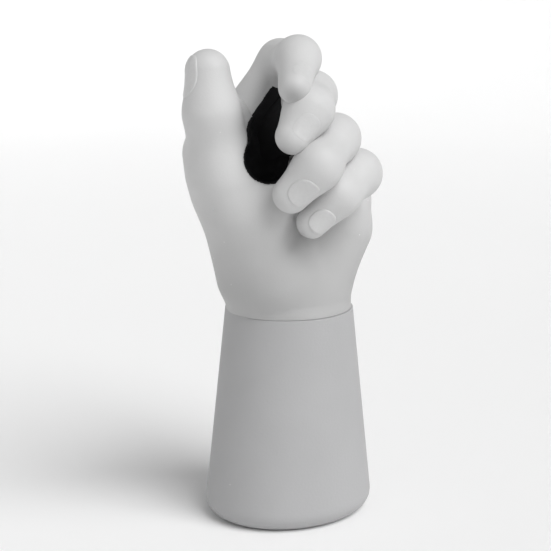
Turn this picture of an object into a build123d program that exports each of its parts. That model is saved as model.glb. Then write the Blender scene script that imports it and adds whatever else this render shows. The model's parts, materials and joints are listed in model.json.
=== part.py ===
from build123d import *
import math
import os

# Prosthetic left hand with a hollow forearm socket.  Millimetres, +Z up along the forearm.
# The origin is the middle of the flat base rim.  The palm faces -Y and the thumb is on the -X side.
# The hand turns on the forearm at the wrist, the four fingers turn together on one knuckle shaft,
# and the thumb turns on its own pin.

# ---------------------------------------------------------------- driving dimensions: fits
REACH = 120.0            # longer than anything that a cutting block has to pass
RUNNING = 0.05           # radial clearance of a shaft in its bush
MOVING_GAP = 0.5         # gap between faces that pass each other
SCREW_R = 1.5            # small machine screws
SCREW_HEAD_R = 2.75
SCREW_HEAD_T = 2.4

# forearm
WRIST_Z = 96.0           # height of the plane that the hand turns on
WRIST_R = 28.8           # the forearm is round at the wrist
BASE_A = 40.5            # half width of the base along X
BASE_B = 35.5            # half depth of the base along Y
BASE_ROLL = 9.0          # rolled lower edge
SHELL_WALL = 3.2
SHELL_FLOOR = 12.0       # height of the solid rim at the base
MOUTH_A = 28.0           # opening in the base, inside its flat rim
MOUTH_B = 24.0
LAND_Z = 78.0            # start of the cylindrical land that holds the wrist unit

# residual-limb socket
BRIM_BORE_R = 20.0       # round hole in the rubber brim, where the limb goes in
BRIM_ROUND = 1.2
BRIM_Z1 = 10.0
SOCKET_TOP_Z = 62.0
SOCKET_TOP_R = 19.0
SOCKET_WALL = 2.5
FOAM_TOP_Z = 64.5

# wrist unit
STUD_R = 6.0
STUD_BOTTOM_Z = 66.0
STUD_HEAD_R = 9.0
STUD_HEAD_T = 3.5
BUSH_WALL = 3.0
HOUSING_R = 14.0
HOUSING_FLANGE_R = 20.0
HOUSING_FLANGE_T = 3.5
END_PLATE_T = 5.5
NUT_T = 5.0
NUT_R = 9.5
WASHER_T = 2.2
THRUST_T = 0.5
WRIST_GAP = 0.9          # between the forearm's end plate and the hand's base plate

# palm
BASE_PLATE_R = 24.5
BASE_PLATE_T = 3.0
FRAME_FLANGE_R = 20.0
FRAME_FLANGE_T = 4.0
PALM_SKIN_T = 2.6
# height, centre x, centre y, half width, half depth of the palm's sections
PALM_SECTIONS = (
    (0.3, 0.0, 0.0, 28.6, 28.6),
    (9.0, 0.0, 0.0, 30.0, 27.0),
    (24.0, -1.5, -2.0, 36.0, 23.0),
    (39.0, -4.0, -2.0, 38.0, 21.5),
    (54.0, -10.0, 0.0, 32.0, 19.0),
    (69.0, -17.0, 4.0, 25.0, 15.5),
    (84.0, -24.0, 8.0, 17.0, 11.5),
)

# knuckle shaft: its middle, how far its ulnar end drops, and how far that end comes forward
KNUCKLE = Vector(-3.0, 1.5, 161.0)
KNUCKLE_TILT = 35.0
KNUCKLE_YAW = -16.0
SHAFT_R = 2.5
HUB_R = 8.5
HUB_HALF = 6.5
BUSH_R = 4.0
LUG_T = 2.5
LUG_R = 4.5
BEAM_TOP = -10.5         # below the shaft, clear of the turning hubs
BEAM_T = 5.0
BEAM_DEPTH = 8.0
LINK_R = 1.2             # rod that ties the four hubs together
LINK_OFFSET = 6.2
LINK_ANGLE = 25.0        # from the distal direction towards the back of the hand
CLIP_T = 0.8
CLIP_R = 4.2
SPRING_WIRE_R = 0.5
SPRING_R = 4.2
SPRING_PITCH = 1.5
FINGER_OPEN = 32.0       # degrees that the fingers open

# Each finger: place along the shaft, phalanx lengths, flexion of each phalanx from the distal
# direction, sideways lean of each phalanx, and radii at the middle, end and tip joints.
FINGERS = {
    "index": (-33.0, (39.0, 25.0, 18.5), (11.0, 101.0, 154.0), (12.0, -6.0, -13.0), (8.2, 8.0, 7.4)),
    "middle": (-10.0, (39.5, 26.5, 16.5), (52.0, 120.0, 188.0), (-2.0, -17.0, -12.0), (8.2, 8.0, 7.4)),
    "ring": (11.0, (41.0, 24.0, 15.5), (74.0, 153.0, 212.0), (-12.0, -19.0, -2.0), (8.0, 7.9, 7.2)),
    "little": (31.5, (35.0, 19.0, 14.0), (82.0, 157.0, 204.0), (-20.0, -23.0, -4.0), (7.6, 7.2, 6.6)),
}
SKIN_START = 13.0        # a finger's skin starts this far from the shaft
SKIN_START_R = 8.6
CORE_R = 4.6
CORE_JOINT_R = 5.0
NAIL_LENGTH = 10.5
NAIL_T = 0.7
NAIL_WIDTH = 1.35        # of the fingertip's radius
NAIL_OVERHANG = 0.35     # of the fingertip's radius, past the tip joint

# thumb: hinge point, yaw of its pin, phalanx lengths, outward and palmar lean, radii
THUMB_HINGE = Vector(-43.0, -6.0, 158.0)
THUMB_PIN_YAW = 72.5
THUMB_LENGTHS = (31.0, 18.5)
THUMB_OUT = (15.0, 0.0)
THUMB_FORWARD = (-4.0, 8.0)
THUMB_RADII = (10.2, 9.6, 8.2)
THUMB_SKIN_START = 15.0
THUMB_HUB_R = 8.0
THUMB_HUB_HALF = 5.5
THUMB_WASHER_T = 0.4
THUMB_LUG_R = 5.0
THUMB_WEB_T = 5.0
THUMB_OPEN = 28.0
THUMB_CLOSE = 8.0
BRACKET_ARM_W = 8.0
BRACKET_ARM_T = 6.0
BRACKET_SCREW_R = 1.0
BRACKET_SCREW_LENGTH = 15.0
SPINE_W = 20.0
SPINE_T = 7.0

# grip lining
LINING_CENTRE = (-17.0, 152.0)
LINING_A = 17.0
LINING_B = 22.0

os.makedirs("parts", exist_ok=True)


def save(name, shape):
    """Write one node as a STEP file."""
    solids = shape.solids() if not isinstance(shape, (list, tuple)) else ShapeList(shape)
    shape = solids[0] if len(solids) == 1 else Compound(children=list(solids))
    export_step(shape, f"parts/{name}.step")


def as_solid(shape):
    """The largest solid of a boolean result, without loose slivers."""
    return shape.solids().sort_by(SortBy.VOLUME)[-1]


def elliptic_loft(sections, ruled=False):
    """A solid lofted through ellipses given as height, centre x, centre y, half width, half depth."""
    with BuildPart() as body:
        for z, x, y, a, b in sections:
            with BuildSketch(Plane((x, y, z))):
                Ellipse(a, b)
        loft(ruled=ruled)
    return body.part.solid()


def disc(z0, z1, radius, bore=0.0):
    """A disc or ring about the forearm axis between two heights."""
    body = Pos(0, 0, (z0 + z1) / 2) * Cylinder(radius, z1 - z0)
    if bore > 0:
        body -= Pos(0, 0, (z0 + z1) / 2) * Cylinder(bore, z1 - z0 + 2)
    return body


def rod(start, end, radius):
    """A round rod from one point to another."""
    along = end - start
    plane = Plane(origin=(start + end) / 2, z_dir=along)
    return plane.location * Cylinder(radius, along.length)


def taper(start, end, r_start, r_end):
    """A frustum from one point to another."""
    along = end - start
    plane = Plane(origin=(start + end) / 2, z_dir=along)
    if abs(r_start - r_end) < 0.01:
        return plane.location * Cylinder(r_start, along.length)
    return plane.location * Cone(r_start, r_end, along.length)


def ball(centre, radius):
    """A ball at a point."""
    return Pos(*centre) * Sphere(radius)


def bar(start, end, width, depth, side):
    """A rectangular bar from one point to another, its width along the side direction."""
    along = (end - start).normalized()
    across = (side - along * side.dot(along)).normalized()
    plane = Plane(origin=(start + end) / 2, x_dir=across, z_dir=along)
    return plane.location * Box(width, depth, (end - start).length)


def chain(points, radii):
    """Balls at the points, joined by frustums a little slimmer than the balls."""
    slim = 0.985
    body = ball(points[0], radii[0])
    for i in range(len(points) - 1):
        body += taper(points[i], points[i + 1], radii[i] * slim, radii[i + 1] * slim)
        body += ball(points[i + 1], radii[i + 1])
    return as_solid(body)


# ---------------------------------------------------------------- forearm
def ring_positions(count, radius, turn=0.0):
    """Evenly spaced points on a circle about the forearm axis."""
    steps = [math.radians(turn + 360 * i / count) for i in range(count)]
    return [(radius * math.cos(s), radius * math.sin(s)) for s in steps]


shell_top_z = WRIST_Z - 0.3
land_r = WRIST_R - SHELL_WALL
outer = elliptic_loft(((0, 0, 0, BASE_A, BASE_B), (shell_top_z, 0, 0, WRIST_R, WRIST_R)), ruled=True)
outer = fillet(outer.edges().sort_by(Axis.Z)[0], BASE_ROLL)


def inside(z, wall):
    """Half width and half depth of the forearm at a height, less a wall."""
    share = z / shell_top_z
    half_a = BASE_A + (WRIST_R - BASE_A) * share - wall
    half_b = BASE_B + (WRIST_R - BASE_B) * share - wall
    return half_a, half_b


cavity_low = inside(SHELL_FLOOR, SHELL_WALL)
cavity = elliptic_loft(
    ((SHELL_FLOOR, 0, 0, *cavity_low), (LAND_Z, 0, 0, land_r, land_r)), ruled=True
)
mouth = Pos(0, 0, SHELL_FLOOR / 2) * extrude(Ellipse(MOUTH_A, MOUTH_B), SHELL_FLOOR, both=True)
land = disc(LAND_Z, shell_top_z + 1, land_r)
save("forearm_shell", as_solid(outer - cavity - mouth - land))

# inner socket, its rubber brim and the foam that holds it in the shell
socket_a = MOUTH_A - 1.5
socket_b = MOUTH_B - 1.5
socket_outer = elliptic_loft(
    ((BRIM_Z1, 0, 0, socket_a, socket_b), (SOCKET_TOP_Z, 0, 0, SOCKET_TOP_R, SOCKET_TOP_R)), ruled=True
)
socket_outer = fillet(socket_outer.edges().sort_by(Axis.Z)[-1], 8)
socket_inner = elliptic_loft(
    (
        (BRIM_Z1 - 0.01, 0, 0, socket_a - SOCKET_WALL, socket_b - SOCKET_WALL),
        (SOCKET_TOP_Z - SOCKET_WALL, 0, 0, SOCKET_TOP_R - SOCKET_WALL, SOCKET_TOP_R - SOCKET_WALL),
    ),
    ruled=True,
)
socket_inner = fillet(socket_inner.edges().sort_by(Axis.Z)[-1], 8 - SOCKET_WALL)
save("inner_socket", as_solid(socket_outer - socket_inner))

brim = extrude(Ellipse(MOUTH_A, MOUTH_B), BRIM_Z1) - disc(0, BRIM_Z1, BRIM_BORE_R)
brim = fillet(brim.edges().filter_by(GeomType.CIRCLE).sort_by(Axis.Z)[-1], BRIM_ROUND)
save("socket_brim", as_solid(brim))

foam_top = inside(FOAM_TOP_Z, SHELL_WALL)
foam_blank = cavity & disc(SHELL_FLOOR, FOAM_TOP_Z, BASE_A)
save("socket_foam", as_solid(foam_blank - socket_outer))

# wrist unit: end plate, housing, bush, screws
plate_z0 = shell_top_z - END_PLATE_T
flange_z0 = plate_z0 - HOUSING_FLANGE_T
bush_r = STUD_R + RUNNING + BUSH_WALL
housing_z0 = STUD_BOTTOM_Z + NUT_T + WASHER_T + 0.3
screw_z0 = flange_z0 - SCREW_HEAD_T
screw_points = ring_positions(4, (HOUSING_R + HOUSING_FLANGE_R) / 2, 45)
housing_screws = [
    disc(screw_z0, flange_z0, SCREW_HEAD_R).moved(Location((x, y, 0)))
    + disc(flange_z0, shell_top_z - 1.0, SCREW_R).moved(Location((x, y, 0)))
    for x, y in screw_points
]
friction_z = (housing_z0 + flange_z0) / 2
screw_end = HOUSING_R + 1.5
friction_rods = [
    rod(Vector(x * STUD_R, y * STUD_R, friction_z), Vector(x * screw_end, y * screw_end, friction_z), SCREW_R)
    for x, y in ring_positions(2, 1.0)
]
friction_screws = [screw - disc(housing_z0, flange_z0, bush_r) for screw in friction_rods]
end_plate = disc(plate_z0, shell_top_z, land_r, HOUSING_R)
housing = disc(housing_z0, shell_top_z, HOUSING_R, bush_r) + disc(
    flange_z0, plate_z0, HOUSING_FLANGE_R, HOUSING_R - 0.5
)
for screw in housing_screws:
    end_plate -= screw
    housing -= screw
for screw in friction_rods:
    housing -= screw
save("forearm_end_plate", as_solid(end_plate))
save("wrist_housing", as_solid(housing))
save("wrist_bush", disc(housing_z0, shell_top_z, bush_r, STUD_R + RUNNING))
save("wrist_housing_screws", [as_solid(s) for s in housing_screws])
save("wrist_friction_screws", [as_solid(s) for s in friction_screws])
save("wrist_thrust_washer", disc(shell_top_z, shell_top_z + THRUST_T, HOUSING_R, STUD_R + 1.0))

# ---------------------------------------------------------------- hand: wrist side
base_z0 = shell_top_z + WRIST_GAP
base_z1 = base_z0 + BASE_PLATE_T
stud = disc(STUD_BOTTOM_Z, base_z1, STUD_R) + disc(base_z1, base_z1 + STUD_HEAD_T, STUD_HEAD_R)
save("wrist_stud", as_solid(stud))
nut = Pos(0, 0, STUD_BOTTOM_Z + NUT_T / 2) * extrude(
    RegularPolygon(NUT_R, 6), NUT_T / 2, both=True
)
save("wrist_lock_nut", as_solid(nut - disc(STUD_BOTTOM_Z - 1, base_z0, STUD_R)))
washer_z0 = STUD_BOTTOM_Z + NUT_T
save("wrist_washer", disc(washer_z0, washer_z0 + WASHER_T, NUT_R + 1.0, STUD_R))

plate_screws = [
    disc(base_z0, base_z0 + 1.6, SCREW_HEAD_R).moved(Location((x, y, 0)))
    + disc(base_z0 + 1.6, base_z1 + FRAME_FLANGE_T, SCREW_R).moved(Location((x, y, 0)))
    for x, y in ring_positions(4, 15.0, 45)
]
base_plate = disc(base_z0, base_z1, BASE_PLATE_R, STUD_R)
for screw in plate_screws:
    base_plate -= screw
save("hand_base_plate", as_solid(base_plate))
save("base_plate_screws", [as_solid(s) for s in plate_screws])

# ---------------------------------------------------------------- hand: palm frame and knuckle shaft
tilt = math.radians(KNUCKLE_TILT)
yaw = math.radians(KNUCKLE_YAW)
shaft_dir = Vector(math.cos(tilt) * math.cos(yaw), math.cos(tilt) * math.sin(yaw), -math.sin(tilt))
palmar_guess = Vector(0, -1, 0.1)
palmar = (palmar_guess - shaft_dir * palmar_guess.dot(shaft_dir)).normalized()
distal = palmar.cross(shaft_dir)
dorsal = palmar * -1.0
knuckle_plane = Plane(origin=KNUCKLE, x_dir=shaft_dir, z_dir=distal)


def at_knuckle(x, y, z):
    """A point given along the shaft, towards the back of the hand and towards the fingertips."""
    return KNUCKLE + shaft_dir * x + dorsal * y + distal * z


def on_shaft(x0, x1, radius, bore=0.0):
    """A disc or ring on the knuckle shaft."""
    body = rod(at_knuckle(x0, 0, 0), at_knuckle(x1, 0, 0), radius)
    if bore > 0:
        body -= rod(at_knuckle(x0 - 1, 0, 0), at_knuckle(x1 + 1, 0, 0), bore)
    return body


stations = [FINGERS[name][0] for name in FINGERS]
lug_places = (
    stations[0] - HUB_HALF - MOVING_GAP - LUG_T,
    (stations[1] + stations[2] - LUG_T) / 2,
    stations[3] + HUB_HALF + MOVING_GAP,
)
beam_z = BEAM_TOP - BEAM_T / 2
beam = bar(
    at_knuckle(lug_places[0], 0, beam_z),
    at_knuckle(lug_places[2] + LUG_T, 0, beam_z),
    BEAM_DEPTH,
    BEAM_T,
    dorsal,
)
frame = beam
for place in lug_places:
    frame += on_shaft(place, place + LUG_T, LUG_R)
    middle = place + LUG_T / 2
    frame += bar(at_knuckle(middle, 0, beam_z), at_knuckle(middle, 0, 0), LUG_T, 2 * LUG_R - 0.6, shaft_dir)
spine_foot = Vector(0, 0, base_z1 + 1.0)
spine_head = at_knuckle(0, 0, beam_z)
above_beam = knuckle_plane.location * (Pos(0, 0, BEAM_TOP + REACH / 2) * Box(REACH, REACH, REACH))
frame += bar(spine_foot, spine_head, SPINE_W, SPINE_T, Vector(1, 0, 0)) - above_beam
frame += disc(base_z1, base_z1 + FRAME_FLANGE_T, FRAME_FLANGE_R)
frame -= disc(base_z0 - 5, base_z1, 2 * FRAME_FLANGE_R)
frame -= disc(base_z1 - 1, base_z1 + STUD_HEAD_T, STUD_HEAD_R)
shaft_ends = (lug_places[0] - 2.0, lug_places[2] + LUG_T + 2.0)
frame -= on_shaft(shaft_ends[0] - 1, shaft_ends[1] + 1, SHAFT_R)
for screw in plate_screws:
    frame -= screw

save("knuckle_shaft", on_shaft(*shaft_ends, SHAFT_R))
clip_places = (lug_places[0] - 0.2 - CLIP_T, lug_places[2] + LUG_T + 0.2)
save("shaft_clips", [as_solid(on_shaft(p, p + CLIP_T, CLIP_R, SHAFT_R)) for p in clip_places])


def torsion_spring(x0, x1):
    """A closed-wound wire spring about the knuckle shaft between two places."""
    length = x1 - x0 - 2 * (SPRING_WIRE_R + MOVING_GAP)
    start = at_knuckle(x0 + SPRING_WIRE_R + MOVING_GAP, 0, 0)
    path = Helix(SPRING_PITCH, length, SPRING_R, center=(0, 0, 0), direction=(0, 0, 1))
    section = Plane(origin=path @ 0, z_dir=path % 0) * Circle(SPRING_WIRE_R)
    coil = sweep(section, path=path, is_frenet=True)
    return Plane(origin=start, z_dir=shaft_dir).location * coil


spring_gaps = (
    (stations[0] + HUB_HALF, stations[1] - HUB_HALF),
    (stations[2] + HUB_HALF, stations[3] - HUB_HALF),
)
save("return_springs", [as_solid(torsion_spring(*gap)) for gap in spring_gaps])


# ---------------------------------------------------------------- fingers
def phalanx_axes(flexion, lean):
    """Direction of a phalanx and the direction that its back faces."""
    f = math.radians(flexion)
    s = math.radians(lean)
    forward = distal * math.cos(f) + palmar * math.sin(f)
    along = forward * math.cos(s) + shaft_dir * math.sin(s)
    back = dorsal * math.cos(f) + distal * math.sin(f)
    return along, back


def nail_on(start, along, back, length, r_start, r_end, envelope):
    """A thin plate that lies on the back of the last phalanx, near its tip."""
    end = start + along * length
    blank = taper(start, end, r_start + NAIL_T, r_end + NAIL_T) + ball(end, r_end + NAIL_T)
    tip = end + along * (NAIL_OVERHANG * r_end)
    root = tip - along * NAIL_LENGTH
    lift = back * (r_start + NAIL_T)
    keep = bar(root + lift, tip + lift, NAIL_WIDTH * r_end, r_start + NAIL_T, back.cross(along))
    return as_solid((blank & keep) - envelope)


link_a = math.radians(LINK_ANGLE)
link_y = LINK_OFFSET * math.sin(link_a)
link_z = LINK_OFFSET * math.cos(link_a)
link_ends = (stations[0] - HUB_HALF + 0.5, stations[3] + HUB_HALF - 0.5)
link_rod = rod(at_knuckle(link_ends[0], link_y, link_z), at_knuckle(link_ends[1], link_y, link_z), LINK_R)


def link_room(clearance):
    """Room for the link rod, longer than the rod at both ends."""
    start = at_knuckle(link_ends[0] - 2, link_y, link_z)
    end = at_knuckle(link_ends[1] + 2, link_y, link_z)
    return rod(start, end, LINK_R + clearance)


shaft_room = on_shaft(-REACH / 2, REACH / 2, SPRING_R + SPRING_WIRE_R + MOVING_GAP)
save("finger_link_rod", link_rod)

for name, (station, lengths, flexions, leans, radii) in FINGERS.items():
    joints = [at_knuckle(station, 0, 0)]
    for length, flexion, lean in zip(lengths, flexions, leans):
        along, back = phalanx_axes(flexion, lean)
        joints.append(joints[-1] + along * length)
    first, _ = phalanx_axes(flexions[0], leans[0])
    root = joints[0] + first * SKIN_START
    envelope = chain([root, *joints[1:]], [SKIN_START_R, *radii])
    hub = on_shaft(station - HUB_HALF, station + HUB_HALF, HUB_R)
    bones = chain(joints, [CORE_R, CORE_JOINT_R, CORE_R, CORE_R - 0.5])
    bore = on_shaft(station - HUB_HALF - 1, station + HUB_HALF + 1, BUSH_R)
    solid_core = hub + bones
    # the rod is fixed in the index hub and passes through the others
    link_cut = link_rod if name == "index" else link_room(RUNNING)
    core = as_solid(solid_core - bore - link_cut)
    save(f"{name}_core", core)
    save(f"{name}_skin", as_solid(envelope - solid_core - shaft_room - link_room(MOVING_GAP)))
    save(f"{name}_bush", on_shaft(station - HUB_HALF - 0.2, station + HUB_HALF + 0.2, BUSH_R, SHAFT_R + RUNNING))
    nail = nail_on(joints[2], along, back, lengths[2], radii[1], radii[2], envelope)
    save(f"{name}_nail", nail)

# ---------------------------------------------------------------- thumb
pin_yaw = math.radians(THUMB_PIN_YAW)
pin_dir = Vector(math.cos(pin_yaw), math.sin(pin_yaw), 0)
thumb_out_dir = Vector(-math.sin(pin_yaw), math.cos(pin_yaw), 0)


def at_pin(offset):
    """A point on the thumb's pin."""
    return THUMB_HINGE + pin_dir * offset


def thumb_points(swing=0.0):
    """The thumb's joints with the thumb swung outwards by some degrees."""
    points = [THUMB_HINGE]
    for length, out, forward in zip(THUMB_LENGTHS, THUMB_OUT, THUMB_FORWARD):
        o = math.radians(out + swing)
        f = math.radians(forward)
        upright = Vector(0, 0, 1) * math.cos(o) + thumb_out_dir * math.sin(o)
        points.append(points[-1] + (upright * math.cos(f) + pin_dir * math.sin(f)) * length)
    return points


def thumb_envelope(swing=0.0, grow=0.0):
    """The outside of the thumb, swung outwards and grown evenly."""
    points = thumb_points(swing)
    along = (points[1] - points[0]).normalized()
    radii = [r + grow for r in THUMB_RADII]
    return chain([points[0] + along * THUMB_SKIN_START, *points[1:]], radii)


def on_pin(x0, x1, radius, bore=0.0):
    """A disc or ring on the thumb's pin."""
    body = rod(at_pin(x0), at_pin(x1), radius)
    if bore > 0:
        body -= rod(at_pin(x0 - 1), at_pin(x1 + 1), bore)
    return body


points = thumb_points()
thumb_hub = on_pin(-THUMB_HUB_HALF, THUMB_HUB_HALF, THUMB_HUB_R)
thumb_solid = thumb_hub + chain(points, [CORE_R, CORE_JOINT_R, CORE_R])
envelope = thumb_envelope()
save("thumb_core", as_solid(thumb_solid - on_pin(-THUMB_HUB_HALF - 1, THUMB_HUB_HALF + 1, BUSH_R)))
save("thumb_skin", as_solid(envelope - thumb_solid))
save("thumb_bush", on_pin(-THUMB_HUB_HALF, THUMB_HUB_HALF, BUSH_R, SHAFT_R + RUNNING))
last = (points[2] - points[1]).normalized()
thumb_nail = nail_on(points[1], last, thumb_out_dir, THUMB_LENGTHS[1], THUMB_RADII[1], THUMB_RADII[2], envelope)
save("thumb_nail", thumb_nail)
washer_at = THUMB_HUB_HALF + 0.05
save("thumb_washers", [
    as_solid(on_pin(washer_at, washer_at + THUMB_WASHER_T, THUMB_LUG_R, SHAFT_R + RUNNING)),
    as_solid(on_pin(-washer_at - THUMB_WASHER_T, -washer_at, THUMB_LUG_R, SHAFT_R + RUNNING)),
])

# bracket: two lugs, a web below the hub and an arm to the spine
lug_at = washer_at + THUMB_WASHER_T + 0.1
web_drop = THUMB_HUB_R + 2 * MOVING_GAP + THUMB_WEB_T / 2
bracket = None
for side in (1, -1):
    near = side * lug_at
    far = side * (lug_at + LUG_T)
    lug = on_pin(min(near, far), max(near, far), THUMB_LUG_R)
    mid = at_pin((near + far) / 2)
    lug += bar(mid - Vector(0, 0, web_drop), mid, LUG_T, 2 * THUMB_LUG_R - 0.6, pin_dir)
    bracket = lug if bracket is None else bracket + lug
half_span = lug_at + LUG_T
drop = Vector(0, 0, -web_drop)
bracket += bar(at_pin(-half_span) + drop, at_pin(half_span) + drop, THUMB_WEB_T, THUMB_WEB_T, Vector(0, 0, 1))
arm_foot = spine_foot + (spine_head - spine_foot) * 0.45
arm_head = THUMB_HINGE - Vector(0, 0, THUMB_HUB_R + 2 * MOVING_GAP + BRACKET_ARM_W / 2 + 1.0)
bracket += bar(arm_foot, arm_head, BRACKET_ARM_W, BRACKET_ARM_T, Vector(0, 0, 1))
bracket -= on_pin(-half_span - 3, half_span + 3, SHAFT_R)
bracket = as_solid(bracket) - frame
bracket = as_solid(bracket)
save("thumb_pin", on_pin(-half_span - 1.0, half_span + 1.0, SHAFT_R))
# screws through the arm into the spine
arm_dir = (arm_head - arm_foot).normalized()
screw_side = Vector(0, 0, 1).cross(arm_dir).normalized()
lift = arm_dir.cross(screw_side)
bracket_screws = []
for step in (-2.6, 2.6):
    centre = arm_foot + lift * step
    near = centre + arm_dir * 2.0
    bracket_screws.append(rod(near, near + arm_dir * BRACKET_SCREW_LENGTH, BRACKET_SCREW_R))
for screw in bracket_screws:
    frame = frame - screw
    bracket = bracket - screw
save("palm_frame", as_solid(frame))
save("thumb_bracket", as_solid(bracket))
save("thumb_bracket_screws", [as_solid(s) for s in bracket_screws])

# ---------------------------------------------------------------- palm: skin, core and grip lining
sections = [(WRIST_Z + z, x, y, a, b) for z, x, y, a, b in PALM_SECTIONS]
palm_outer = elliptic_loft(sections)
palm_inner = elliptic_loft([(z, x, y, a - PALM_SKIN_T, b - PALM_SKIN_T) for z, x, y, a, b in sections])
channel = on_shaft(-REACH / 2, REACH / 2, HUB_R + 2 * MOVING_GAP)
palm_front_cut = -HUB_R - 2.0
palm_back_cut = -5.5
front_block = knuckle_plane.location * (
    Pos(0, -REACH / 2, palm_front_cut + REACH / 2) * Box(REACH, REACH, REACH)
)
back_block = knuckle_plane.location * (
    Pos(0, REACH / 2, palm_back_cut + REACH / 2) * Box(REACH, REACH, REACH)
)
thumb_room = on_pin(-half_span - 1.5, half_span + 1.5, THUMB_HUB_R + 2 * MOVING_GAP)
for swing in (-THUMB_CLOSE, 0.0, THUMB_OPEN / 2, THUMB_OPEN):
    thumb_room += thumb_envelope(swing, 1.2)


def hollowed(body):
    """Clear the knuckles and the thumb's travel."""
    body = body - channel - front_block - back_block - thumb_room
    return as_solid(body)


hardware = frame + bracket
palm_blank = hollowed(palm_outer)
core_blank = hollowed(palm_inner)
shell = palm_blank - palm_inner
lining_cut = Pos(LINING_CENTRE[0], -REACH / 2, LINING_CENTRE[1]) * Rot(90, 0, 0) * extrude(
    Ellipse(LINING_A, LINING_B), REACH / 2, both=True
)
lining = (shell & lining_cut) - hardware
palm_skin = (shell - lining_cut) - hardware
save("palm_skin", as_solid(palm_skin))
save("palm_grip_lining", as_solid(lining))
core_foot = disc(WRIST_Z - 5, base_z1, 2 * WRIST_R) + disc(base_z1 - 1, base_z1 + FRAME_FLANGE_T, FRAME_FLANGE_R)
save("palm_core", as_solid(core_blank - hardware - core_foot))
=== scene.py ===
import json
import math

import bpy
import numpy as np
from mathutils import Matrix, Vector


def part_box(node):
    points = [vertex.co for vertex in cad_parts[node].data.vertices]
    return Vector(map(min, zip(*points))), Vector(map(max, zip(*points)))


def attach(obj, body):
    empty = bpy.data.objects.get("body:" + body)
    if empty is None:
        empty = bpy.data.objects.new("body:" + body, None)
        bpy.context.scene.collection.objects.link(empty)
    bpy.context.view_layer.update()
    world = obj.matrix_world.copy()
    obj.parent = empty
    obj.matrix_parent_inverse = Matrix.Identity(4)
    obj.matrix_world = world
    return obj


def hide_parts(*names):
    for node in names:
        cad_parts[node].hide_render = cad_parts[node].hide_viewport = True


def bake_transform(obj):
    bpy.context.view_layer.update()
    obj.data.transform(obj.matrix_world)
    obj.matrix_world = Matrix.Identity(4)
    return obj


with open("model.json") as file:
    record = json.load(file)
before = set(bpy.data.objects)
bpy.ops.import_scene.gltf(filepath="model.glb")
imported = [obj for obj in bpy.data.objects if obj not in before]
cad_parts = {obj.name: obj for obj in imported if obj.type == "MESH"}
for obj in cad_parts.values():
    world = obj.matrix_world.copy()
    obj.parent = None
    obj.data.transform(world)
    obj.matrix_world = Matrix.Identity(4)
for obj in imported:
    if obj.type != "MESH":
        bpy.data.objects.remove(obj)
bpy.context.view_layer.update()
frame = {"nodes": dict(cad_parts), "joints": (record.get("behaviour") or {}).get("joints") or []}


# ---- Forearm shell
# The cone that a residual limb goes into: a glass and resin laminate 3 mm thick, laid up on
# a former with a rolled lower edge, then sprayed matt light grey. Sizes are in millimetres.
MM = 0.001
WRIST_Z = frame["joints"][0]["pos_m"][2] / MM
SHELL_TOP = WRIST_Z - 0.3
WRIST_R = 28.8
BASE = np.array([40.5, 35.5])
ROLL = 9.0
MOUTH = np.array([28.0, 24.0])
LEDGE_Z = 12.0
LAND_Z = 78.0
LAND_R = 25.6


def grid_object(name, points, around=True, along=False, poles=False):
    """A mesh object from a grid of points in millimetres. Each row closes on itself when around
    is true, the last row joins the first when along is true, and poles closes both end rows."""
    rows, columns = points.shape[:2]
    number = np.arange(rows * columns).reshape(rows, columns)
    here = number if along else number[:-1]
    below = np.roll(number, -1, 0) if along else number[1:]
    if around:
        faces = np.stack([here, below, np.roll(below, -1, 1), np.roll(here, -1, 1)], -1)
    else:
        faces = np.stack([here[:, :-1], below[:, :-1], below[:, 1:], here[:, 1:]], -1)
    faces = faces.reshape(-1, 4).tolist()
    if poles:
        faces.append(number[0].tolist())
        faces.append(number[-1][::-1].tolist())
    mesh = bpy.data.meshes.new(name)
    mesh.from_pydata((points.reshape(-1, 3) * MM).tolist(), [], faces)
    mesh.shade_smooth()
    made = bpy.data.objects.new(name, mesh)
    bpy.context.scene.collection.objects.link(made)
    return made


def ring_of(half_widths, heights, count):
    """Rows of an upright shell: each row is an ellipse of the given half widths at its height."""
    turn = np.linspace(0, 2 * np.pi, count, endpoint=False)
    x = half_widths[:, :1] * np.cos(turn)
    y = half_widths[:, 1:] * np.sin(turn)
    z = np.repeat(heights[:, None], count, axis=1)
    return np.stack([x, y, z], -1)


def cone_at(height, inset=0.0):
    """Half widths of the forearm at a height: an ellipse at the base that shrinks evenly to the
    round wrist, less an inset."""
    share = np.asarray(height)[:, None] / SHELL_TOP
    return BASE + (WRIST_R - BASE) * share - np.broadcast_to(np.asarray(inset), np.shape(height))[:, None]


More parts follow.
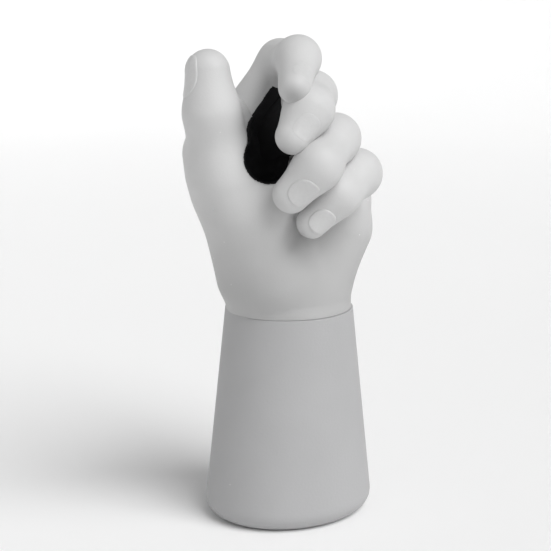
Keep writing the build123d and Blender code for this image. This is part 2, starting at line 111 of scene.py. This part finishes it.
class Shade:
    """The socket of a material node, held so that sums of varying values add Math nodes."""

    def __init__(self, tree, socket=None):
        self.tree = tree
        self.socket = socket

    def node(self, kind, settings=None, inputs=None, output=0):
        """Adds any node: its settings come first, then the values or links of its sockets."""
        made = self.tree.nodes.new(kind)
        for key, value in (settings or {}).items():
            if key == "stops":
                ramp = made.color_ramp.elements
                while len(ramp) < len(value):
                    ramp.new(0.5)
                for stop, (place, colour) in zip(ramp, value):
                    stop.position = place
                    stop.color = colour
            else:
                setattr(made, key, value)
        for key, value in (inputs or {}).items():
            if isinstance(value, Shade):
                self.tree.links.new(value.socket, made.inputs[key])
            else:
                made.inputs[key].default_value = value
        return Shade(self.tree, made.outputs[output] if len(made.outputs) else None)

    def sum(self, operation, first, second=0.0):
        return self.node("ShaderNodeMath", {"operation": operation}, {0: first, 1: second})

    def __add__(self, other):
        return self.sum("ADD", self, other)

    def __sub__(self, other):
        return self.sum("SUBTRACT", self, other)

    def __rsub__(self, other):
        return self.sum("SUBTRACT", other, self)

    def __mul__(self, other):
        return self.sum("MULTIPLY", self, other)

    __radd__ = __add__
    __rmul__ = __mul__

    def fade(self, low, high):
        """0 below low and 1 above high, with a smooth change between them."""
        return self.node(
            "ShaderNodeMapRange",
            {"interpolation_type": "SMOOTHSTEP"},
            {"Value": self, "From Min": low, "From Max": high},
        )


def start_material(name):
    """An empty material, and a Shade that adds nodes to it."""
    material = bpy.data.materials.new(name)
    material.use_nodes = True
    material.node_tree.nodes.clear()
    return material, Shade(material.node_tree)


def place(shade):
    """Position on the piece, in metres."""
    return shade.node("ShaderNodeTexCoord", output=3)


def grain(shade, size, detail=2.0, stretch=(1.0, 1.0, 1.0)):
    """Cloudy noise from 0 to 1 whose patches are about size metres across."""
    where = shade.node("ShaderNodeMapping", None, {"Vector": place(shade), "Scale": stretch})
    return shade.node(
        "ShaderNodeTexNoise", None, {"Vector": where, "Scale": 1.0 / size, "Detail": detail}
    )


def specks(shade, spacing, radius):
    """1 inside small round dots about spacing metres apart, and 0 between them."""
    away = shade.node("ShaderNodeTexVoronoi", None, {"Vector": place(shade), "Scale": 1.0 / spacing})
    return 1.0 - away.fade(0.6 * radius / spacing, radius / spacing)


def mixed(shade, factor, first, second):
    """Colour that goes from the first to the second as the factor goes from 0 to 1."""
    return shade.node(
        "ShaderNodeMix", {"data_type": "RGBA"}, {"Factor": factor, "A": first, "B": second}, output=2
    )


def finish_material(material, shade, colour, roughness, height=None, depth=0.0, **constants):
    """Joins colour, roughness and a height for the bumps to the surface shader."""
    inputs = {"Base Color": colour, "Roughness": roughness}
    if height is not None:
        inputs["Normal"] = shade.node("ShaderNodeBump", None, {"Height": height, "Distance": depth})
    inputs.update({key.replace("_", " "): value for key, value in constants.items()})
    surface = shade.node("ShaderNodeBsdfPrincipled", None, inputs)
    shade.node("ShaderNodeOutputMaterial", None, {"Surface": surface})
    return material


def sprayed_laminate():
    """Matt sprayed finish: soft clouds of tone, fine stipple, and a few pale dust nibs."""
    material, shade = start_material("sprayed_laminate")
    clouds = grain(shade, 0.030)
    stipple = grain(shade, 0.0011, 3.0)
    nibs = specks(shade, 0.016, 0.00035)
    colour = mixed(shade, clouds, (0.385, 0.385, 0.39, 1), (0.43, 0.43, 0.435, 1))
    colour = mixed(shade, nibs, colour, (0.62, 0.62, 0.62, 1))
    height = stipple * 0.6 + nibs * 0.4
    return finish_material(
        material, shade, colour, clouds * 0.1 + 0.56, height, 0.00012, Specular_IOR_Level=0.35
    )


roll_turn = np.linspace(0, np.pi / 2, 14)
outer_z = np.concatenate([[SHELL_TOP, SHELL_TOP - 0.15], np.linspace(SHELL_TOP - 0.5, ROLL + 1, 60)])
outer = cone_at(outer_z)
outer[0] -= 0.15
roll_z = ROLL * (1 - np.sin(roll_turn))
roll = cone_at(roll_z, ROLL * (1 - np.cos(roll_turn)))
inner_z = np.array([0.0, 0.4, LEDGE_Z, LEDGE_Z, LAND_Z, SHELL_TOP, SHELL_TOP])
inner = np.array([
    MOUTH + 0.4,
    MOUTH,
    MOUTH,
    cone_at([LEDGE_Z], 3.2)[0],
    [LAND_R, LAND_R],
    [LAND_R, LAND_R],
    [LAND_R + 0.3, LAND_R + 0.3],
])
forearm = grid_object(
    "forearm_skin",
    ring_of(np.vstack([outer, roll, inner]), np.concatenate([outer_z, roll_z, inner_z]), 160),
    along=True,
)
forearm.data.set_sharp_from_angle(angle=math.radians(35))
forearm.data.materials.append(sprayed_laminate())
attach(forearm, "forearm")
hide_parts("forearm_shell")


# ---- Socket brim
# The soft lip round the opening, where the limb goes in: a moulded ring of black rubber, glued
# into the mouth of the shell, with rounded edges.
BRIM_BORE = 20.0
BRIM_LOW, BRIM_HIGH = (corner[2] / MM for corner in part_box("socket_brim"))


def black_rubber():
    """Matt black rubber: a little grey bloom and a fine moulded texture."""
    material, shade = start_material("brim_rubber")
    bloom = grain(shade, 0.009)
    colour = mixed(shade, bloom, (0.022, 0.022, 0.023, 1), (0.045, 0.045, 0.046, 1))
    return finish_material(
        material, shade, colour, bloom * 0.15 + 0.6, grain(shade, 0.0008), 0.0001
    )


section_turn = np.linspace(0, 2 * np.pi, 28, endpoint=False)
across = np.sign(np.cos(section_turn)) * np.abs(np.cos(section_turn)) ** 0.55
upward = np.sign(np.sin(section_turn)) * np.abs(np.sin(section_turn)) ** 0.35
brim_half = (BRIM_HIGH - BRIM_LOW) / 2
brim = grid_object(
    "socket_brim_ring",
    ring_of(
        (MOUTH + BRIM_BORE) / 2 + across[:, None] * (MOUTH - BRIM_BORE) / 2,
        (BRIM_LOW + BRIM_HIGH) / 2 + upward * brim_half,
        128,
    ),
    along=True,
)
brim.data.materials.append(black_rubber())
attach(brim, "forearm")
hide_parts("socket_brim")


# ---- Inner socket and its foam
# The thin laminated cup that touches the limb, and the rigid foam poured between the cup and
# the shell to hold it. Both are seen only through the opening.
def give(material, *names):
    """Puts a material on CAD pieces that keep their shape."""
    for name in names:
        mesh = frame["nodes"][name].data
        mesh.materials.clear()
        mesh.materials.append(material)


def cup_laminate():
    """Smooth grey laminate with the faint cross weave of its stockinette."""
    material, shade = start_material("cup_laminate")
    weave = grain(shade, 0.0015, 1.0, (1.0, 1.0, 0.3)) * grain(shade, 0.0015, 1.0, (0.3, 0.3, 1.0))
    colour = mixed(shade, weave, (0.20, 0.20, 0.205, 1), (0.36, 0.36, 0.365, 1))
    return finish_material(material, shade, colour, weave * 0.2 + 0.35, weave, 0.0001)


def rigid_foam():
    """Cream foam with open cells."""
    material, shade = start_material("rigid_foam")
    cells = shade.node("ShaderNodeTexVoronoi", None, {"Vector": place(shade), "Scale": 900.0})
    colour = mixed(shade, cells, (0.42, 0.38, 0.28, 1), (0.70, 0.66, 0.54, 1))
    return finish_material(material, shade, colour, cells * 0.1 + 0.8, cells, 0.0004)


give(cup_laminate(), "inner_socket")
give(rigid_foam(), "socket_foam")


# ---- Wrist unit
# The bearing that lets the hand turn on the forearm: a turned nylon end plate and aluminium
# housing, a plastic bush and washer, and steel stud, nut and screws.
def machined(name, low, high, metallic, roughness, ring=0.0006):
    """A turned or machined surface: fine even tool lines round the axis, and soft smudges."""
    material, shade = start_material(name)
    lines = grain(shade, ring, 2.0, (0.15, 0.15, 1.0))
    smudge = grain(shade, 0.012)
    colour = mixed(shade, lines * 0.6 + smudge * 0.4, low, high)
    return finish_material(
        material, shade, colour, smudge * 0.15 + roughness, lines, 0.00004, Metallic=metallic
    )


aluminium = machined("satin_aluminium", (0.50, 0.51, 0.52, 1), (0.66, 0.67, 0.68, 1), 1.0, 0.32)
steel = machined("ground_steel", (0.36, 0.36, 0.37, 1), (0.55, 0.55, 0.56, 1), 1.0, 0.24)
nylon = machined("machined_nylon", (0.24, 0.24, 0.25, 1), (0.34, 0.34, 0.35, 1), 0.0, 0.45)
acetal = machined("turned_acetal", (0.66, 0.65, 0.60, 1), (0.76, 0.75, 0.71, 1), 0.0, 0.35)
give(nylon, "forearm_end_plate")
give(aluminium, "wrist_housing", "hand_base_plate")
give(acetal, "wrist_bush", "wrist_thrust_washer")
give(
    steel,
    "wrist_housing_screws",
    "wrist_friction_screws",
    "wrist_stud",
    "wrist_lock_nut",
    "wrist_washer",
    "base_plate_screws",
)


# ---- Palm frame, knuckle shaft and thumb bracket
# The skeleton inside the glove: an aluminium frame on the wrist plate carries one steel shaft
# for all four fingers, and a bracket screwed to its side carries the thumb's pin.
give(aluminium, "palm_frame", "thumb_bracket")
give(
    steel,
    "knuckle_shaft",
    "shaft_clips",
    "return_springs",
    "finger_link_rod",
    "thumb_pin",
    "thumb_bracket_screws",
)
give(acetal, "index_bush", "middle_bush", "ring_bush", "little_bush", "thumb_bush")
give(acetal, "thumb_washers")


# ---- Palm and thumb glove
# One hollow casting of matt light-grey silicone that goes over the whole hand: wrist, palm, knuckles and
# thumb. It has a moulded recess for a grip.
KNUCKLE = next(j for j in frame["joints"] if j["name"] == "index_knuckle")
SHAFT = -np.array(KNUCKLE["axis"])
SHAFT_MIDDLE = np.array(KNUCKLE["pos_m"]) / MM
OUT_OF_PALM = np.array([0.0, -1.0, 0.1])
PALMWARD = OUT_OF_PALM - SHAFT * (OUT_OF_PALM @ SHAFT)
PALMWARD = PALMWARD / np.linalg.norm(PALMWARD)
FORWARD = np.cross(PALMWARD, SHAFT)
GLOVE_FOOT = WRIST_Z - 0.15

# start, end, thickness at the start and at the end
PALM_FLESH = (
    ((-10, 2, 108), (-29, 6, 178), 17.0, 12.0),
    ((-4, 3, 108), (-10, 4, 166), 17.0, 12.5),
    ((2, 2, 108), (6, 0, 154), 17.0, 12.0),
    ((8, -2, 108), (24.5, -8, 144), 17.0, 12.0),
    ((8, -6, 110), (18.4, -12, 131), 17.0, 15.0),
    ((-15, -7, 114), (-31, -9, 145), 18.5, 13.8),
    ((-26, -15, 144), (-21.5, -27.5, 156), 12.0, 9.0),
    ((-36.5, -9, 145), (-39, -9, 158), 11.0, 11.8),
    ((-36.5, 4, 152), (-40.5, 6.5, 168.5), 9.5, 9.0),
)
THUMB_FLESH = (
    ((-17, 2, 114), (-39, -4, 160), 17.0, 12.8),
    ((-39, -4, 160), (-45.2, -5.4, 187), 12.8, 11.3),
    ((-45.2, -5.4, 187), (-45.4, -3.2, 204), 11.3, 9.3),
)
# place along the shaft and radius of the flesh over each knuckle
KNUCKLE_FLESH = ((-36.0, 12.5), (-10.0, 12.0), (11.0, 11.8), (34.0, 11.5))
# reach of the fillet between two bars of the palm, round a knuckle, within the thumb, where the
# thumb meets the palm, within a finger, and between two bars of the recess
PALM_REACH, KNUCKLE_REACH, THUMB_REACH, WEB_REACH = 12.0, 6.0, 8.0, 14.0
FINGER_REACH, RECESS_REACH, LIP_REACH = 9.0, 6.0, 2.0
# the recess for a grip: two round-ended holes side by side, mouth to floor, with their radii
RECESS = (
    ((-41.0, -40.4, 171.3), (-21.7, -14.0, 166.4), 10.4, 10.4),
    ((-43.6, -41.5, 183.5), (-19.0, -8.4, 177.7), 6.6, 6.6),
)


def flesh(points, start, end, thick_start, thick_end):
    """Distance to a tapering round bar: the distance to the nearest point of its middle line,
    less a thickness that changes evenly along it."""
    start = np.asarray(start, float)
    along = np.asarray(end, float) - start
    share = np.clip((points - start) @ along / (along @ along), 0, 1)
    away = points - start - share[..., None] * along
    return np.sqrt((away**2).sum(-1)) - (thick_start + (thick_end - thick_start) * share)


def melt(first, second, reach):
    """Two distances joined with a fillet: the smaller one, less a third power of how nearly
    equal they are, within the reach."""
    near = np.maximum(reach - np.abs(first - second), 0) / reach
    return np.minimum(first, second) - near**3 * reach / 6


def dished(body, cutter, reach):
    """A body with a cutter taken out of it, and the edge rounded within the reach."""
    return -melt(-body, cutter, reach)


def on_knuckles(along, back=0.0, forward=0.0):
    """A point given along the knuckle shaft, towards the back of the hand and towards the tips."""
    return SHAFT_MIDDLE + SHAFT * along - PALMWARD * back + FORWARD * forward


def palm_mass(points):
    """The palm alone: a round wrist, bars of flesh and four knuckles, melted together."""
    mass = flesh(points, (0, 0, 92), (0, 0, 101), 28.8, 26.0)
    for bar in PALM_FLESH:
        mass = melt(mass, flesh(points, *bar), PALM_REACH)
    for along, radius in KNUCKLE_FLESH:
        ball = flesh(points, on_knuckles(along), on_knuckles(along, 0, 1), radius, radius)
        mass = melt(mass, ball, KNUCKLE_REACH)
    return mass


def recess(points):
    """The hole for the grip."""
    return melt(flesh(points, *RECESS[0]), flesh(points, *RECESS[1]), RECESS_REACH)


def uncut_glove(points):
    """Palm and thumb together, before the recess is taken out."""
    thumb = flesh(points, *THUMB_FLESH[0])
    for bar in THUMB_FLESH[1:]:
        thumb = melt(thumb, flesh(points, *bar), THUMB_REACH)
    return melt(palm_mass(points), thumb, WEB_REACH)


def glove_mass(points):
    """The glove with its recess, whose lip is rounded by about a millimetre."""
    return dished(uncut_glove(points), recess(points), LIP_REACH)


def slope(mass, points, step=0.05):
    """How fast a distance grows along X, Y and Z, by central differences."""
    return np.stack(
        [(mass(points + step * way) - mass(points - step * way)) / (2 * step) for way in np.eye(3)], -1
    )


def settle(mass, points, times=4, limit=0.6):
    """Points moved straight on to the surface where the distance is zero, in Newton steps."""
    for _ in range(times):
        away = mass(points)
        steep = slope(mass, points)
        move = -steep * (away / np.maximum((steep**2).sum(-1), 0.05))[:, None]
        size = np.sqrt((move**2).sum(-1, keepdims=True))
        points = points + move * np.minimum(1, limit / np.maximum(size, 1e-9))
    return points


def cast(name, mass, low, high, pitch, foot=None):
    """A closed mesh of the surface where a distance is zero. A lattice of the given pitch gets one
    point in each cell that the surface crosses, joined round each lattice edge that it crosses;
    the points are evened out among their neighbours and settled on the surface. A foot is the
    height of a flat end with a sharp rim."""
    axes = [np.arange(a, b + 2 * pitch, pitch) for a, b in zip(low, high)]
    if foot is not None:
        axes[2] = axes[2] - axes[2][0] + foot - 0.5 * pitch
    lattice = np.stack(np.meshgrid(*axes, indexing="ij"), -1)
    distance = mass(lattice.reshape(-1, 3)).reshape(lattice.shape[:3])
    if foot is not None:
        distance[:, :, 0] = pitch
    inside = distance < 0
    inside[[0, -1]] = inside[:, [0, -1]] = inside[:, :, [0, -1]] = False
    nx, ny, nz = (n - 1 for n in inside.shape)
    corners = np.stack([
        inside[i : i + nx, j : j + ny, k : k + nz] for i in (0, 1) for j in (0, 1) for k in (0, 1)
    ])
    crossed = corners.any(0) & ~corners.all(0)
    number = np.full(crossed.shape, -1)
    number[crossed] = np.arange(crossed.sum())
    points = lattice[:-1, :-1, :-1][crossed] + pitch / 2
    quads = []
    for axis in range(3):
        second, third = (axis + 1) % 3, (axis + 2) % 3
        low_end = np.moveaxis(inside, (axis, second, third), (0, 1, 2))
        cells = np.moveaxis(number, (axis, second, third), (0, 1, 2))
        start, end = low_end[:-1, 1:-1, 1:-1], low_end[1:, 1:-1, 1:-1]
        ring = np.stack([cells[:, 1:, 1:], cells[:, :-1, 1:], cells[:, :-1, :-1], cells[:, 1:, :-1]], -1)
        quads.append(ring[start & ~end])
        quads.append(ring[~start & end][:, ::-1])
    quads = np.concatenate(quads)
    points = settle(mass, points, 3, pitch)
    pairs = np.concatenate([quads[:, [0, 1]], quads[:, [1, 2]], quads[:, [2, 3]], quads[:, [3, 0]]])
    flat = np.zeros(len(points), bool)
    if foot is not None:
        flat = points[:, 2] < foot + 0.5 * pitch
    for _ in range(3):
        total = np.zeros_like(points)
        np.add.at(total, pairs[:, 0], points[pairs[:, 1]])
        count = np.bincount(pairs[:, 0], minlength=len(points))[:, None]
        middle = total / np.maximum(count, 1)
        points = np.where(flat[:, None], points, points + 0.5 * (middle - points))
        points = np.where(flat[:, None], points, settle(mass, points, 2, 0.5 * pitch))
    if foot is not None:
        points[flat, 2] = foot
        rim = flat & (np.abs(mass(points)) < pitch)
        outward = points[rim, :2] / np.linalg.norm(points[rim, :2], axis=-1, keepdims=True)
        for _ in range(6):
            points[rim, :2] -= outward * mass(points[rim])[:, None]
    mesh = bpy.data.meshes.new(name)
    mesh.from_pydata((points * MM).tolist(), [], quads.tolist())
    mesh.shade_smooth()
    made = bpy.data.objects.new(name, mesh)
    bpy.context.scene.collection.objects.link(made)
    return made


def cast_silicone():
    """Matt silicone: slow clouds of tone, a fine moulded grain, small pits and faint specks, with painted
    shade, darker where the mesh's own painted-shade attribute says: at the fingertips, on the palm under the
    ring and little fingertips, and towards the wrist."""
    material, shade = start_material("cast_silicone")
    clouds = grain(shade, 0.022)
    stipple = grain(shade, 0.0009, 3.0)
    pits = specks(shade, 0.019, 0.0004)
    nibs = specks(shade, 0.013, 0.00035)
    colour = mixed(shade, clouds, (0.56, 0.56, 0.56, 1), (0.62, 0.62, 0.62, 1))
    # painted shade: the colour goes towards dark grey as the mesh's painted-shade attribute goes from 0 to 1
    smudge = shade.node("ShaderNodeAttribute", {"attribute_name": "smudge"}, output=2)
    colour = mixed(shade, smudge, colour, (0.2, 0.2, 0.2, 1))
    colour = mixed(shade, nibs, colour, (0.72, 0.72, 0.72, 1))
    colour = mixed(shade, pits, colour, (0.38, 0.38, 0.38, 1))
    height = stipple * 0.5 + nibs * 0.3 - pits * 0.5
    return finish_material(
        material, shade, colour, clouds * 0.1 + 0.52, height, 0.00012, Specular_IOR_Level=0.4
    )


def paint_shade_on(thing, amount):
    """Writes on a mesh how much painted shade the silicone gets at each vertex, from 0 to 1."""
    spots = np.empty(3 * len(thing.data.vertices))
    thing.data.vertices.foreach_get("co", spots)
    marks = thing.data.attributes.new("smudge", "FLOAT", "POINT")
    marks.data.foreach_set("value", amount(spots.reshape(-1, 3) / MM))


silicone = cast_silicone()
glove = cast("palm_glove", glove_mass, (-66, -36, 95), (36, 33, 218), 1.0, GLOVE_FOOT)
glove.data.set_sharp_from_angle(angle=math.radians(60))
glove.data.materials.append(silicone)
# a way across the thumb, made one unit long; nothing below uses it
BEND_WAY = np.array([-0.6, -0.528, 0.6])
BEND_WAY = BEND_WAY / np.linalg.norm(BEND_WAY)
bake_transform(glove)
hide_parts("palm_skin", "thumb_skin", "palm_core", "thumb_core")


# ---- Palm grip lining
# The recess is lined with a black sheet 1.6 mm thick, bonded into the glove and trimmed at its lip; its
# black is painted shade, standing for the deep shade inside the grip hollow.
LINING_T = 1.6
PROUD = 0.3


def black_for_shade():
    """Painted shade: matt near-black with a fine moulded stipple and a little grey dust, for the shade in
    the grip hollow.
    """
    material, shade = start_material("grip_elastomer")
    dust = grain(shade, 0.007)
    colour = mixed(shade, dust, (0.010, 0.010, 0.011, 1), (0.016, 0.016, 0.017, 1))
    return finish_material(
        material, shade, colour, dust * 0.1 + 0.75, grain(shade, 0.0007), 0.0001, Specular_IOR_Level=0.15
    )


# the part of the palm that the lining covers: the recess carried on towards the knuckles
COVERED = (
    ((-41.0, -40.4, 171.3), (-18.2, -9.2, 165.5), 10.8, 10.8),
    ((-43.6, -41.5, 183.5), (-16.1, -3.7, 177.3), 7.9, 7.9),
)


def shade_sheet_mass(points):
    """A layer that stands a little proud of the glove, inside two round bars melted together."""
    surface = glove_mass(points)
    layer = np.maximum(surface - PROUD, -surface - (LINING_T - PROUD))
    covered = melt(flesh(points, *COVERED[0]), flesh(points, *COVERED[1]), RECESS_REACH)
    return np.maximum(layer, covered)


# painted shade: near-black for the grip lining and the finger pads, where the grip hollow lies in deep shade
shade_black = black_for_shade()
# painted shade: a black sheet over the recess, where there is only shade
lining = cast("grip_lining", shade_sheet_mass, (-46, -34, 150), (-6, 4, 192), 0.6)
lining.data.materials.append(shade_black)
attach(lining, "hand")
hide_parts("palm_grip_lining")


# ---- Finger gloves
# Four fingers cast in the same silicone over stiff cores, held in a loose fist. They turn
# together on the knuckle shaft, so each is one stiff piece with a round root inside the palm.
# Each: place along the shaft; lengths; flexion and lean of each bone; radii from root to tip.
FINGERS = {
    "index": (-27.5, (36.3, 26.3, 24.9), (10.9, 100.2, 137.2), (3.6, -8.4, -5.2), (10.0, 8.8, 8.6, 6.9)),
    "middle": (-10.0, (36.9, 23.1, 13.6), (51.8, 126.3, 180.1), (-6.2, -15.8, -3.2), (10.4, 9.4, 9.5, 7.5)),
    "ring": (11.0, (39.7, 22.6, 16.7), (75.6, 148.4, 213.6), (-14.8, -17.3, -3.0), (10.2, 9.5, 9.2, 7.9)),
    "little": (31.5, (34.8, 18.2, 16.3), (82.9, 154.3, 204.3), (-19.9, -23.4, -6.4), (10.0, 9.5, 8.6, 6.8)),
}
# the web of flesh between the index and middle fingers
INDEX_WEB = ((-15, 4, 176), (-2, -9, 199), 6.5, 4.5)


def bone_ways(flexion, lean):
    """The way that a finger bone points, and the way that its back faces."""
    flexion = math.radians(flexion)
    lean = math.radians(lean)
    ahead = FORWARD * math.cos(flexion) + PALMWARD * math.sin(flexion)
    back = -PALMWARD * math.cos(flexion) + FORWARD * math.sin(flexion)
    return ahead * math.cos(lean) + SHAFT * math.sin(lean), back


def finger_joints(name):
    """The four joint points of a finger, root to tip."""
    along, lengths, flexions, leans, _ = FINGERS[name]
    joints = [on_knuckles(along)]
    for length, flexion, lean in zip(lengths, flexions, leans):
        joints.append(joints[-1] + length * bone_ways(flexion, lean)[0])
    return joints


def finger_mass(name):
    """The finger's distance function: three tapering bars melted together."""
    joints = finger_joints(name)
    radii = FINGERS[name][4]

    def mass(points):
        whole = flesh(points, joints[0], joints[1], radii[0], radii[1])
        for i in (1, 2):
            bar = flesh(points, joints[i], joints[i + 1], radii[i], radii[i + 1])
            whole = melt(whole, bar, FINGER_REACH)
        if name == "index":
            whole = melt(whole, flesh(points, *INDEX_WEB), KNUCKLE_REACH)
        return whole

    return mass


def shade_spot(points, middle, depth, spread):
    """A spot of painted shade: its depth, times a bell curve of the distance from its middle over a spread.
    """
    return depth * np.exp(-((points - middle) ** 2).sum(-1) / spread**2)


# the point at each fingertip's end, the middle of its painted shade on the finger and, for the ring and
# little fingers, on the palm
shade_middles = {}
for name in FINGERS:
    joints = np.array(finger_joints(name))
    room = 2 + max(FINGERS[name][4])
    finger = cast(f"{name}_glove", finger_mass(name), joints.min(0) - room, joints.max(0) + room, 0.8)
    finger.data.materials.append(silicone)
    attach(finger, f"{name}_finger")
    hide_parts(f"{name}_skin", f"{name}_core")
    ahead = bone_ways(FINGERS[name][2][2], FINGERS[name][3][2])[0]
    shade_middles[name] = joints[3] + ahead * (0.8 * FINGERS[name][4][3])
    # painted shade: a dark spot round the end of each fingertip
    paint_shade_on(finger, lambda points: shade_spot(points, shade_middles[name], 0.55, 4.0))


# painted shade on the palm: the height where it begins, the height where it is fullest, and its depth there
SHADE_TOP, SHADE_FOOT, SHADE_DEPTH = 160, 108, 0.42


def palm_painted_shade(points):
    """Painted shade: darker evenly from a top height down to a foot height, and in spots under the ring and
    little fingertips where they press on the palm."""
    painted_dark = SHADE_DEPTH * np.clip((SHADE_TOP - points[:, 2]) / (SHADE_TOP - SHADE_FOOT), 0, 1)
    for name in ("ring", "little"):
        painted_dark = painted_dark + shade_spot(points, shade_middles[name], 0.5, 6.32)
    return np.minimum(painted_dark, 0.8)


# painted shade on the palm: darker towards the wrist, and under the ring and little fingertips
paint_shade_on(glove, palm_painted_shade)


# ---- Finger grip pads
# Thin black sheets let into the inner faces of the first bones of three fingers, carrying the lining on
# round the grip; their black is painted shade, for the inner faces that lie in the shade of the grip hollow.
# Each: share of the bone's length where it starts and ends, and the way that it faces with how far out from
# the bone's middle line it begins.
SHADE_PADS = {
    "index": (0.0, 1.02, (0.497, -0.565, -0.659), 3.4),
    "middle": (0.0, 0.95, (-0.60, -0.72, -0.34), -1.5),
    "ring": (0.15, 0.85, (-0.60, -0.72, -0.34), 2.0),
}


def shade_pad_mass(name):
    """A layer of the first bone's surface, between two shares of its length, on one side of it."""
    first, last, faces, out = SHADE_PADS[name]
    root, tip = finger_joints(name)[:2]
    radii = FINGERS[name][4]
    along = tip - root
    length = np.linalg.norm(along)

    def mass(points):
        bar = flesh(points, root, tip, radii[0], radii[1])
        if name == "index":
            bar = melt(bar, flesh(points, *INDEX_WEB), KNUCKLE_REACH)
        layer = np.maximum(bar - PROUD, -bar - (LINING_T - PROUD))
        share = (points - root) @ along / length**2
        side = out - (points - root - share[..., None] * along) @ np.array(faces)
        ends = np.maximum(first - share, share - last) * length
        return np.maximum(np.maximum(layer, side), ends)

    return mass


for name in SHADE_PADS:
    joints = np.array(finger_joints(name)[:2])
    # painted shade: black sheets where the inner faces of the first bones lie in the shade of the grip
    # hollow
    pad = cast(f"{name}_grip_pad", shade_pad_mass(name), joints.min(0) - 12, joints.max(0) + 12, 0.6)
    pad.data.materials.append(shade_black)
    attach(pad, f"{name}_finger")


# ---- Nails
# Cast with the fingers as thin raised plates, rubbed almost flat on the index and middle
# fingers. Each: how far it starts before the tip's centre, half length, half width, height.
NAILS = {
    "index": (9.0, 5.4, 5.4, 0.05),
    "middle": (9.0, 5.4, 5.4, 0.05),
    "ring": (12.0, 6.4, 5.8, 0.45),
    "little": (9.0, 5.6, 5.0, 0.50),
    "thumb": (10.0, 8.6, 6.6, 0.40),
}


def nail_plate(name, mass, middle, ahead, outward, half_length, half_width, height):
    """A closed plate on a fingertip. Rows run from its middle to its rim and back underneath, and
    points of a row go round a squarish oval. Each point drops on to the fingertip against the
    outward way, then rises by the plate's height, which falls off at the rim and is below the
    surface underneath."""
    reach = np.concatenate([np.linspace(0.02, 0.9, 12), [0.95, 0.985, 1.0, 0.98], np.linspace(0.9, 0.02, 8)])
    rise = np.concatenate([
        height * (1 - 0.12 * np.linspace(0, 0.9, 12) ** 4),
        [0.8 * height, 0.45 * height, 0.0, -0.5],
        np.full(8, -0.7),
    ])
    turn = np.linspace(0, 2 * np.pi, 72, endpoint=False)
    wide = np.sign(np.cos(turn)) * np.abs(np.cos(turn)) ** 0.8
    long = np.sign(np.sin(turn)) * np.abs(np.sin(turn)) ** 0.8
    sideways = np.cross(ahead, outward)
    flat = (
        middle
        + sideways * (reach[:, None] * wide * half_width)[..., None]
        + ahead * (reach[:, None] * long * half_length)[..., None]
    ).reshape(-1, 3)
    for _ in range(14):
        flat = flat - outward * mass(flat)[:, None]
    up = slope(mass, flat)
    up = up / np.linalg.norm(up, axis=-1, keepdims=True)
    raised = flat + up * np.repeat(rise, len(turn))[:, None]
    return grid_object(name, raised.reshape(len(reach), len(turn), 3), poles=True)


def nail_finish():
    """Satin nail: a touch smoother and paler than the silicone, with faint lengthwise lines."""
    material, shade = start_material("cast_nail")
    lines = grain(shade, 0.0012, 1.0)
    colour = mixed(shade, lines, (0.57, 0.57, 0.57, 1), (0.62, 0.62, 0.62, 1))
    return finish_material(material, shade, colour, lines * 0.08 + 0.42, lines, 0.00005)


nail_material = nail_finish()
for name, (before, half_length, half_width, height) in NAILS.items():
    if name == "thumb":
        start, tip = np.array(THUMB_FLESH[2][0], float), np.array(THUMB_FLESH[2][1], float)
        ahead = (tip - start) / np.linalg.norm(tip - start)
        outward = np.array([-0.96, 0.29, 0.0])
        mass, radius, body = uncut_glove, THUMB_FLESH[2][3], "thumb"
    else:
        tip = finger_joints(name)[3]
        ahead, outward = bone_ways(FINGERS[name][2][2], FINGERS[name][3][2])
        mass, radius, body = finger_mass(name), FINGERS[name][4][3], f"{name}_finger"
    outward = outward - ahead * (outward @ ahead)
    outward = outward / np.linalg.norm(outward)
    middle = tip + ahead * (half_length - before) + outward * (radius + 3)
    nail = nail_plate(f"{name}_nail_plate", mass, middle, ahead, outward, half_length, half_width, height)
    nail.data.materials.append(nail_material)
    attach(nail, body)
    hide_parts(f"{name}_nail")


# ---- Stage and light
# A pale sweep under and round the hand, a broad soft lamp high on the right in front, white
# surroundings, and a camera that looks a little down on the palm.
# a flat round floor, then a quarter turn up to a wall, in metres
FLOOR_R, SWEEP_R = 1.2, 1.0
sweep_turn = np.linspace(0.1, np.pi / 2, 12)
sweep_radius = np.concatenate([np.linspace(0.02, FLOOR_R, 8), FLOOR_R + SWEEP_R * np.sin(sweep_turn)])
sweep_height = np.concatenate([np.zeros(8), SWEEP_R * (1 - np.cos(sweep_turn))])
floor = grid_object(
    "floor_sweep",
    ring_of(np.stack([sweep_radius, sweep_radius], -1)[::-1] / MM, sweep_height[::-1] / MM, 96),
)
material, shade = start_material("pale_sweep")
paint = mixed(shade, grain(shade, 0.4), (0.9, 0.9, 0.9, 1), (0.92, 0.92, 0.92, 1))
floor.data.materials.append(finish_material(material, shade, paint, 0.9))


turn, rise = math.radians(-37), math.radians(13)
back = np.array([math.sin(turn) * math.cos(rise), -math.cos(turn) * math.cos(rise), math.sin(rise)])
right = np.array([math.cos(turn), math.sin(turn), 0])
above = np.cross(back, right)
key = bpy.data.objects.new("key_lamp", bpy.data.lights.new("key_lamp", "SUN"))
key.data.energy = 2.6
key.data.angle = math.radians(45)
key.rotation_euler = Vector(-(0.5 * right + 0.6 * above + 0.62 * back)).to_track_quat("-Z", "Y").to_euler()
bpy.context.scene.collection.objects.link(key)
world = bpy.data.worlds.new("studio")
world.use_nodes = True
world.node_tree.nodes["Background"].inputs["Color"].default_value = (1, 1, 1, 1)
world.node_tree.nodes["Background"].inputs["Strength"].default_value = 0.3
bpy.context.scene.world = world
bpy.context.scene.view_settings.view_transform = "Standard"

aim = np.array([0, 0, 0.107]) - right * 0.0061 + above * 0.0025
camera = bpy.data.objects.new("camera", bpy.data.cameras.new("camera"))
camera.data.lens = 101.6
camera.data.sensor_width = 36
camera.data.clip_start = 0.01
camera.location = aim + back * 0.7
camera.rotation_euler = Vector(-back).to_track_quat("-Z", "Y").to_euler()
bpy.context.scene.collection.objects.link(camera)
bpy.context.scene.camera = camera
